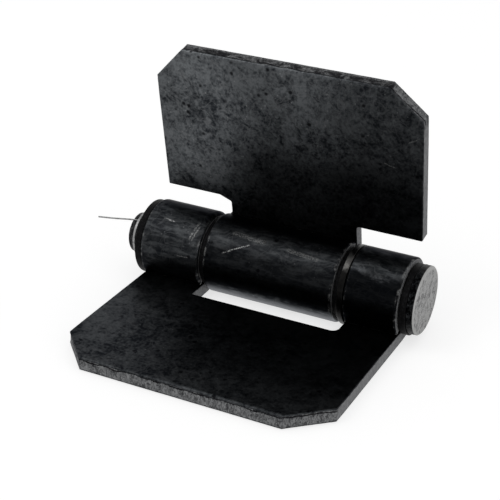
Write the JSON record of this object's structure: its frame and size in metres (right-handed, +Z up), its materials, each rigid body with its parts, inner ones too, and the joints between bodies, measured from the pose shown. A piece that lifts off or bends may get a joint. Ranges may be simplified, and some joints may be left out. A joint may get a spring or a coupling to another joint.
{
  "type": "weld-on barrel hinge",
  "caption": "Heavy weld-on butt hinge: plain leaves with clipped corners, rolled into a thick barrel round a headed pin, standing part open.",
  "frame": {"origin": "middle of the base leaf's weld face, half way between its far edge and the pin's axis", "axes": "+X along the pin towards its head, -Y towards the base leaf's far edge, +Z up out of the base leaf"},
  "size_m": [0.131, 0.0896, 0.0919],
  "materials": {
    "scale_steel": "satin",
    "pin_steel": "satin",
    "black_washer": "matte",
    "ring_steel": "satin",
    "spring_steel": "satin"
  },
  "bodies": {
    "base": {"base_leaf": "scale_steel"},
    "swing": {"swing_leaf": "scale_steel"},
    "pin": {"hinge_pin": "pin_steel", "tail_end_washer": "black_washer", "tail_joint_washer": "black_washer", "head_joint_washer": "black_washer", "thrust_ring": "ring_steel", "head_end_washer": "black_washer", "retaining_ring": "spring_steel", "lock_wire": "spring_steel"}
  },
  "joints": [
    {"name": "leaf_swing", "type": "hinge", "parent": "base", "child": "swing", "pos_m": [0, 0.0375, 0.01459], "axis": [-1, 0, 0], "range_deg": [-92.9, 201.1]},
    {"name": "pin_turn", "type": "hinge", "parent": "base", "child": "pin", "pos_m": [0, 0.0375, 0.01459], "axis": [1, 0, 0], "continuous": true}
  ]
}
